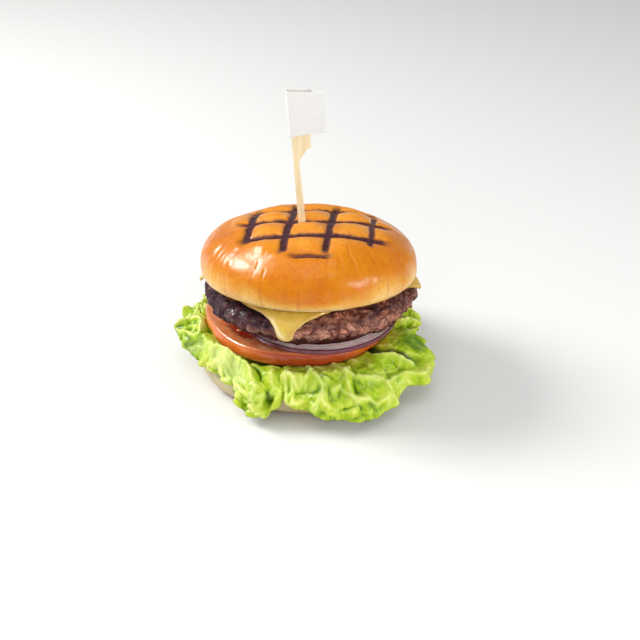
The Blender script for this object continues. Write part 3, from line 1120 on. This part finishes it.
# %% [markdown]
# The crown is the glazed top of the bun, the largest thing in view. It is a flattened dome with a rolled lip.
# A hot grill has pressed dark lines into it both ways, and the dough puffs up between them. Cracks and small
# wrinkles run down the front, and an egg wash gives the crust its gloss. The crust is golden, brightest at the
# crest, deeper on the shoulder and pale along the lip.

# %% Crown, its grill marks
CROWN_CENTRE = Vector((2.5, -11.0, 60.0)) * MM
CROWN_RADIUS = 50.5 * MM
CROWN_RISE = 23.3 * MM
CROWN_DROP = 6.5 * MM
CROWN_CUT_RADIUS = 44.5 * MM
CROWN_BELLY = 5.0 * MM
CROWN_BELLY_RADIUS = 40.0 * MM
CROWN_TILT, CROWN_ROLL = 11.5, 1.0
CROWN_FULLNESS = 2.5
MARK_PITCH = 17.8 * MM
COLUMN_TURN, ROW_TURN = math.radians(-6.0), math.radians(2.4)
MARK_CENTRE = (1.2 * MM, -8.5 * MM)
MARK_DEPTH = 1.3 * MM
# How far before and beyond its reach, in mm, a mark fades out
MARK_FADE_IN, MARK_FADE_OUT = 4.0, 2.0
CUSHION_RISE = 1.7 * MM
CRACK_DEPTH = 0.36 * MM
PICK_DIMPLE = 0.8 * MM
# Each mark in mm: its place across, its middle along, its reach each way, its half width, and how dark it is
MARK_COLUMNS = ((-26.7, 0.6, 21.5, 1.75, 1.0), (-8.9, -0.4, 30.0, 1.8, 1.0), (9.9, 0.2, 29.5, 1.75, 1.0),
                (28.6, 4.5, 21.0, 1.4, 0.95))
MARK_ROWS = ((-31.3, -2.0, 9.5, 1.1, 0.9), (-15.9, 0.4, 34.0, 2.2, 1.0), (1.4, 1.5, 36.0, 2.8, 0.97),
             (18.8, 1.0, 31.0, 3.1, 0.95), (36.0, 0.0, 16.0, 2.8, 0.9))
crown_frame = frame_of(CROWN_CENTRE, CROWN_TILT, CROWN_ROLL)


def turned_by(grid, angle):
    """Plan coordinates of the dome, measured from the middle of the marks and turned with them."""
    x = grid[..., 0] * math.cos(angle) + grid[..., 1] * math.sin(angle) - MARK_CENTRE[0]
    y = grid[..., 1] * math.cos(angle) - grid[..., 0] * math.sin(angle) - MARK_CENTRE[1]
    return x, y


def grill(grid):
    """How far a point is pressed in, how dark it is burnt, and how close it is to a mark."""
    (column_x, column_y), (row_x, row_y) = turned_by(grid, COLUMN_TURN), turned_by(grid, ROW_TURN)
    press, burn, near = np.zeros_like(row_x), np.zeros_like(row_x), np.ones_like(row_x)
    spot = grid * (1.0, 1.0, 0.0)
    ragged = grain(spot, 2.2 * MM, 71) * 0.13 + grain(spot, 4.5 * MM, 72) * 0.22
    row_y = row_y - 3.6 * MM * (row_x / (34.0 * MM)) ** 2
    for marks, across, along in ((MARK_COLUMNS, column_x, column_y), (MARK_ROWS, row_y, row_x)):
        beside = np.ones_like(row_x)
        for at, middle, reach, half_width, dark in marks:
            bow = 0.5 * MM * grain(np.stack([along, 0 * along + at * MM, 0 * along], -1), 14.0 * MM, 73)
            gap = np.abs(across - at * MM - bow) / (half_width * MM)
            from_middle = np.abs(along - middle * MM) + 2.0 * MM * ragged
            fade = 1.0 - smooth((reach - MARK_FADE_IN) * MM, (reach + MARK_FADE_OUT) * MM, from_middle)
            press = np.maximum(press, fade * (1.0 - smooth(0.35, 1.7, gap)) * min(1.0, 0.6 + 0.23 * half_width))
            burn = np.maximum(burn, fade * dark * (1.0 - smooth(0.7, 1.25, gap + ragged)))
            beside = np.minimum(beside, lerp(1.0, smooth(0.0, 0.47, gap * half_width * MM / MARK_PITCH), fade))
        near = near * beside
    return press, burn, near


# %% [markdown]
# The body is again a turned profile: a superellipse for the dome, which is flatter on top than a ball, a rolled
# lip, and a soft belly of crumb that sinks on to the cheese. The marks are pressed in along the normals, and the
# dough between them is raised, so that the light finds each cushion.

# %% Crown, its body
PICK_TIP = Vector((4.7, -17.0, 5.0)) * MM
PICK_LEAN = math.radians(-3.5)
PICK_LEAVES_CROWN = 78.0 * MM
# Lengths round the crust are measured on a circle of this radius in mm
CRUST_ARC = 50
# Each crack: its direction, where it starts and ends as a share of the radius, and its half width in mm
CRACKS = (
    (-113.5, 0.93, 1.06, 0.34), (-94.5, 0.97, 1.06, 0.28), (-81.0, 0.97, 1.06, 0.25), (-63.5, 0.72, 0.93, 0.50),
    (-50.0, 0.87, 0.98, 0.40), (-45.0, 0.98, 1.06, 0.28), (-119.0, 0.88, 0.97, 0.35), (-136.0, 0.97, 1.06, 0.30),
    (-33.0, 0.90, 1.05, 0.30), (60.0, 0.88, 1.06, 0.35), (118.0, 0.85, 1.0, 0.30), (20.0, 0.90, 1.06, 0.30),
    (168.0, 0.87, 1.02, 0.35),
)
pick_frame = Matrix.Translation(STACK_SHIFT) @ Matrix.Translation(PICK_TIP) @ Matrix.Rotation(PICK_LEAN, 4, "Y")
dome = [(CROWN_RADIUS * s, CROWN_RISE * (1.0 - s**CROWN_FULLNESS) ** (1.0 / CROWN_FULLNESS))
        for s in [0.008] + [math.sin(a) for a in np.linspace(0.02, math.pi / 2, 220)]]
lip = arc(CROWN_CUT_RADIUS, 0.0, CROWN_RADIUS - CROWN_CUT_RADIUS, CROWN_DROP, 0, -90, 24)[1:]
under = [(CROWN_BELLY_RADIUS, -CROWN_DROP - CROWN_BELLY), (0.5 * MM, -CROWN_DROP - CROWN_BELLY)]
profile = resampled(dome + lip + under, lambda r, z: (0.45 if z > -CROWN_DROP * 0.98 else 1.8) * MM)
dome_grid = spun(profile, segments=440)
grid = dome_grid
radius, angle = polar(grid)
share = radius / CROWN_RADIUS
top_side = (np.arange(len(profile)) < np.argmax(profile[:, 0]) + 1)[:, None]
press, burn, near = grill(grid)
x, y = turned_by(grid, ROW_TURN)
press, burn = press * top_side, burn * top_side
puff = CUSHION_RISE * near * (1.0 - smooth(28.0 * MM, 40.0 * MM, np.hypot(x, y))) * top_side
normals = outward(grid)
skin_side = smooth(-CROWN_DROP * 0.95, -CROWN_DROP * 0.4, grid[..., 2])
slow = grain(grid, 26.0 * MM, 74) * 0.55 * MM + grain(grid, 11.0 * MM, 75) * 0.22 * MM
meridian = np.stack([np.cos(angle) * CRUST_ARC * MM, np.sin(angle) * CRUST_ARC * MM, radius * 0.30], -1)
wrinkled = smooth(0.45, 0.75, share) * smooth(-0.25, 0.35, grain(grid, 15.0 * MM, 76))
wrinkled = wrinkled * (1.0 - smooth(0.0, 0.5, burn))
wrinkle = (grain(meridian, 2.6 * MM, 77) * 0.24 + grain(meridian, 1.3 * MM, 79) * 0.10) * MM * wrinkled
wrinkle += grain(grid, 3.2 * MM, 78) * 0.06 * MM
crack = np.zeros_like(angle)
for number, (heading, start, end, half_width) in enumerate(CRACKS):
    down = share + np.where(top_side, 0.0, (1.0 - share) + 0.25 * (1.0 - share))
    along = np.stack([down * CRUST_ARC * MM, 0 * down + number * 9.0 * MM, 0 * down], -1)
    sway = 1.5 * MM * grain(along, 5.0 * MM, 80)
    gap = (np.degrees(angle) - heading + 180.0) % 360.0 - 180.0
    gap = np.abs(np.radians(gap) * CRUST_ARC * MM + sway) / (half_width * MM)
    crack = np.maximum(crack, (1.0 - smooth(0.3, 1.4, gap)) * smooth(start - 0.02, start + 0.02, down)
                       * (1.0 - smooth(end - 0.03, end + 0.02, down)))
# The crust dips where the pick goes in
pierced = crown_frame.inverted() @ pick_frame @ Vector((0.0, 0.0, PICK_LEAVES_CROWN))
dimple = np.hypot((grid[..., 0] - pierced.x) / 1.5, grid[..., 1] - pierced.y) / (1.9 * MM)
dimple = np.exp(-dimple**2) * top_side
relief_height = (slow + wrinkle) * skin_side - CRACK_DEPTH * crack - MARK_DEPTH * press + puff - PICK_DIMPLE * dimple
crack = np.maximum(crack, dimple)
grid = grid + normals * relief_height[..., None]
grid = kept_clear(grid, crown_frame, patty_frame, PATTY_HALF + CHEESE_LIFT + CHEESE_THICKNESS + 0.7 * MM)
level = dome_grid[..., 2]
to_side = smooth(0.15, 0.7, np.abs(np.cos(angle)))
bake = np.where(top_side, lerp(1.0, 0.42, smooth(0.55, 0.97, share)), 0.42)
bake = bake * smooth(-CROWN_DROP * 0.9, CROWN_DROP * lerp(0.0, 2.1, to_side), level)
bake = np.clip(bake + 0.06 * grain(grid, 10.0 * MM, 81) + 0.10 * smooth(0.3, 1.0, near) * (share < 0.7), 0.0, 1.0)
under_side = 1.0 - smooth(-CROWN_DROP * 1.02, -CROWN_DROP * 0.9, level)

# %% [markdown]
# The crust's colour follows how much heat each part got, which is the paint called bake: cream at the lip, deep
# orange on the shoulder, gold on the crest. The egg wash is the shader's coat, uneven so that highlights break up.

# %% Crown, its material
crust, tree, shader, place = new_material(
    "glazed_crust", Specular_IOR_Level=0.12, Subsurface_Weight=0.05, Coat_Roughness=0.2,
    Subsurface_Radius=(0.004, 0.002, 0.0008))
golden = ramp(tree, painted(tree, "bake"), [
    (0.0, tint(230, 192, 118)), (0.14, tint(220, 164, 62)), (0.36, tint(208, 126, 6)), (0.66, tint(212, 128, 8)),
    (1.0, tint(230, 156, 50))])
tone = blotched(tree, place, 42.0, 0.35, 0.65, (255, 255, 255), (236, 196, 130))
golden = blended(tree, 0.6, golden, tone, "MULTIPLY")
fleck = blotched(tree, place, 520.0, 0.5, 0.72, (255, 255, 255), (226, 178, 120))
golden = blended(tree, 0.5, golden, fleck, "MULTIPLY")
golden = blended(tree, maths(tree, "MULTIPLY", painted(tree, "crack"), 0.6), golden, tint(192, 106, 22))
inside = blotched(tree, place, 380.0, 0.4, 0.6, (244, 226, 182), (222, 190, 130))
golden = laid_over(tree, "inside", golden, inside)
burnt = blotched(tree, place, 650.0, 0.4, 0.6, (52, 28, 40), (88, 48, 50))
colour = laid_over(tree, "burn", golden, burnt)
normal = bumpy(tree, place, 260.0, 0.00022, 900.0, 0.00006)
film = wetted(tree, place, 150.0, 0.45, 0.28, 0.38, 0.6)
dull = maths(tree, "SUBTRACT", 1.0, painted(tree, "burn"), True)
finished(tree, shader, colour, normal, film["Roughness"],
         maths(tree, "MULTIPLY", coat(tree, film, 0.12, 0.65), dull))
crown = turned_object("crown_crust", moved(grid, crown_frame), crust, bake=bake, burn=burn, crack=crack,
                      inside=under_side)

# %% [markdown]
# The pick is a flat blade of bamboo, cut straight along its left edge, with a broad head at the top right. The
# outline is one polygon, drawn out to its thickness, and a small bevel takes the sharpness off the edges.

# %% Wooden paddle pick
PICK_LENGTH = 142.0 * MM
PICK_WIDTH = 3.2 * MM
PICK_THICKNESS = 2.2 * MM
PICK_HEAD_WIDTH = 8.2 * MM
PICK_HEAD_LENGTH = 33.0 * MM
PICK_HEAD_FLARE = 8.0 * MM
PICK_NECK_CUT = 0.75 * MM
PICK_NECK_START = 88.0 * MM
PICK_CORNER = 1.2 * MM
PICK_POINT_LENGTH = 12.0 * MM

bamboo, tree, shader, place = new_material("pale_wood", Specular_IOR_Level=0.35)
lengthways = put(tree, "ShaderNodeMapping", Vector=place, Scale=(1.0, 1.0, 0.035)).outputs[0]
wood = blotched(tree, lengthways, 1500.0, 0.35, 0.65, (240, 225, 188), (228, 205, 160))
normal = bumpy(tree, lengthways, 1500.0, 0.00012, 4000.0, 0.00004)
film = wetted(tree, lengthways, 900.0, 0.65, 0.5)
finished(tree, shader, wood, normal, film["Roughness"])

left, right = -PICK_WIDTH / 2, PICK_WIDTH / 2
head, neck = left + PICK_HEAD_WIDTH, PICK_LENGTH - PICK_HEAD_LENGTH
outline = [(right * 0.3, 0.0), (right, PICK_POINT_LENGTH), (right, PICK_NECK_START)]
for k in range(25):
    rise = k / 24
    hook = lerp(float(smooth(0.0, 1.0, rise)), 1.0 - math.sqrt(1.0 - rise**2), 0.6)
    outline.append((lerp(right - PICK_NECK_CUT, head, hook), neck + PICK_HEAD_FLARE * rise))
for centre_x, turn_from in ((head - PICK_CORNER, 0), (left + PICK_CORNER, 90)):
    for step in range(5):
        a = math.radians(turn_from + 90 * step / 4)
        outline.append((centre_x + PICK_CORNER * math.cos(a), PICK_LENGTH - PICK_CORNER + PICK_CORNER * math.sin(a)))
outline += [(left, PICK_POINT_LENGTH), (left * 0.3, 0.0)]
build = bmesh.new()
ring = [build.verts.new((x, -PICK_THICKNESS / 2, z)) for x, z in outline]
face = build.faces.new(ring)
made = bmesh.ops.extrude_face_region(build, geom=[face])["geom"]
for vertex in (item for item in made if isinstance(item, bmesh.types.BMVert)):
    vertex.co.y = PICK_THICKNESS / 2
bmesh.ops.recalc_face_normals(build, faces=build.faces[:])
sharp = [edge for edge in build.edges if edge.calc_face_angle(0.0) > math.radians(50)]
bmesh.ops.bevel(build, geom=sharp, offset=0.22 * MM, segments=3, profile=0.5, affect="EDGES")
bmesh.ops.transform(build, matrix=pick_frame, verts=build.verts[:])
mesh = bpy.data.meshes.new("pick_blade")
build.to_mesh(mesh)
build.free()
mesh.materials.append(bamboo)
pick = in_scene("pick_blade", mesh)
print("pick_blade:", len(mesh.polygons), "faces")

# %% [markdown]
# The flag is a strip of white paper folded round the straight edge of the pick's head. The two leaves meet at
# the far end. Its surface is left blank, with paper fibre, a soft fold and a slight curve.

# %% Paper flag
FLAG_WIDTH = 16.2 * MM
FLAG_HEIGHT = 21.0 * MM
FLAG_PAPER = 0.35 * MM
FLAG_GAP = 0.35 * MM
FLAG_TAPER_TOP = 1.1 * MM
FLAG_TAPER_BOTTOM = 2.0 * MM
FLAG_FREE = 1.0 * MM
FLAG_OVER_HEAD = 1.5 * MM

paper, tree, shader, place = new_material(
    "white_paper", Specular_IOR_Level=0.3, Subsurface_Weight=0.05, Subsurface_Radius=(0.001, 0.001, 0.001))
fibre = blotched(tree, place, 900.0, 0.3, 0.7, (228, 227, 224), (222, 221, 218))
normal = bumpy(tree, place, 220.0, 0.00008, 2600.0, 0.000015)
film = wetted(tree, place, 600.0, 0.75, 0.6)
finished(tree, shader, fibre, normal, film["Roughness"])

half_gap = PICK_THICKNESS / 2 + FLAG_GAP + FLAG_PAPER / 2
left = -PICK_WIDTH / 2 - FLAG_FREE
right = left + FLAG_WIDTH
close_at = -PICK_WIDTH / 2 + PICK_HEAD_WIDTH + FLAG_FREE
shut = 0.25 * MM + FLAG_PAPER / 2
run = np.linspace(left + half_gap * 0.6, right, 60)
gap_at = lerp(half_gap, 0.5 * shut, smooth(close_at, right - 2.0 * MM, run))
bend = np.radians(np.linspace(0.0, 180.0, 18)[1:-1])
line_x = np.r_[run[::-1], left + half_gap * 0.6 - half_gap * 0.6 * np.sin(bend), run]
line_y = np.r_[0.0 * run - half_gap, -half_gap * np.cos(bend), 2.0 * gap_at - half_gap]
share, x = np.meshgrid(np.linspace(0.0, 1.0, 50), line_x, indexing="ij")
y = np.broadcast_to(line_y, x.shape)
sway = 0.5 * MM * np.sin((x - left) / FLAG_WIDTH * math.pi * 1.3) * smooth(close_at, right, x)
sway = sway + 0.35 * MM * (share - 0.5) * smooth(close_at, right, x)
taper = (x - left) / FLAG_WIDTH
top = PICK_LENGTH + FLAG_OVER_HEAD
z = lerp(top - FLAG_HEIGHT + FLAG_TAPER_BOTTOM * taper, top - FLAG_TAPER_TOP * taper, share)
middle = np.stack([x, y + sway, z], -1)
out = outward(middle, closed=False)
flag = sheet_object("flag_paper", *both_faces(middle, out, FLAG_PAPER / 2, FLAG_PAPER / 2, pick_frame), paper)

# %% [markdown]
# The stage is a plain pale floor under soft studio light. A key from the left shapes the burger. A broader light
# at the same place is seen only in glossy surfaces, and gives the glaze its large highlight. A smaller light from
# the right, two soft ones from above and in front, and an even pale surround fill the shadows.

# %% Floor, lights and surround
floor_mesh = bpy.data.meshes.new("floor")
floor_mesh.from_pydata([(-3, -3, 0), (3, -3, 0), (3, 3, 0), (-3, 3, 0)], [], [(0, 1, 2, 3)])
floor = in_scene("floor", floor_mesh)
ground = new_material("floor_paint", Base_Color=tint(232, 232, 230), Roughness=0.7, Specular_IOR_Level=0.2)[0]
floor_mesh.materials.append(ground)


def softbox(name, at, towards, size, power, colour=(1.0, 1.0, 1.0), gleams=True, lights=True):
    """An area light. One that gleams is seen in glossy surfaces, and one that lights falls on matt ones."""
    data = bpy.data.lights.new(name, "AREA")
    data.shape = "RECTANGLE"
    data.size, data.size_y = size
    data.energy = power
    data.color = colour
    obj = in_scene(name, data)
    obj.location = at
    obj.visible_glossy = gleams
    obj.visible_diffuse = lights
    obj.rotation_euler = (Vector(towards) - Vector(at)).to_track_quat("-Z", "Y").to_euler()


MIDDLE = (0.0, 0.0, 0.06)
WARM = (1.0, 0.99, 0.97)
softbox("key", (-0.72, 0.14, 0.67), MIDDLE, (0.40, 0.40), 8.6, WARM)
softbox("gleam", (-0.70, 0.13, 0.66), MIDDLE, (0.66, 0.50), 14.0, WARM, lights=False)
softbox("overhead", (0.05, -0.25, 1.05), (0.0, 0.0, 0.05), (0.9, 0.9), 3.2)
softbox("front", (-0.15, -1.15, 0.62), MIDDLE, (1.0, 0.8), 4.6, gleams=False)
softbox("side", (0.74, -0.46, 0.27), MIDDLE, (0.34, 0.20), 3.6, (1.0, 0.99, 0.98))

world = bpy.data.worlds.new("surround")
world.use_nodes = True
background = world.node_tree.nodes["Background"].inputs
background["Color"].default_value = (0.95, 0.97, 1.0, 1.0)
background["Strength"].default_value = 0.34
scene = bpy.context.scene
scene.world = world
scene.view_settings.view_transform = "Standard"
scene.view_settings.look = "None"

# %% [markdown]
# Last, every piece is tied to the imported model: what it rides on, which plain solid it stands for, and which
# of the record's material slots it belongs to. Then the two boxes are written down, so that they can be compared.

# %% Tie the pieces to the frame and finish
for piece, node, slot in (
    (heel, "heel", "pale_crumb"), (leaves[0], "lettuce_left", "lettuce"), (leaves[1], "lettuce_front", "lettuce"),
    (leaves[2], "lettuce_right", "lettuce"), (tomato, "tomato_slice", "tomato"), (onion, "onion_ring", "red_onion"),
    (patty, "patty", "seared_beef"), (cheese, "cheese_slice", "melted_cheese"), (crown, "crown", "glazed_crust"),
    (pick, "paddle_pick", "pale_wood"), (flag, "paper_flag", "white_paper"),
):
    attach(piece, "root")
    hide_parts(node)
    points = np.array([v.co for v in piece.data.vertices])
    past = np.array([points.min(0), points.max(0)]) - np.array([list(corner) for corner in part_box(node)])
    print(f"{piece.name} against {node}, mm: {np.round(past * 1000, 1).tolist()}")
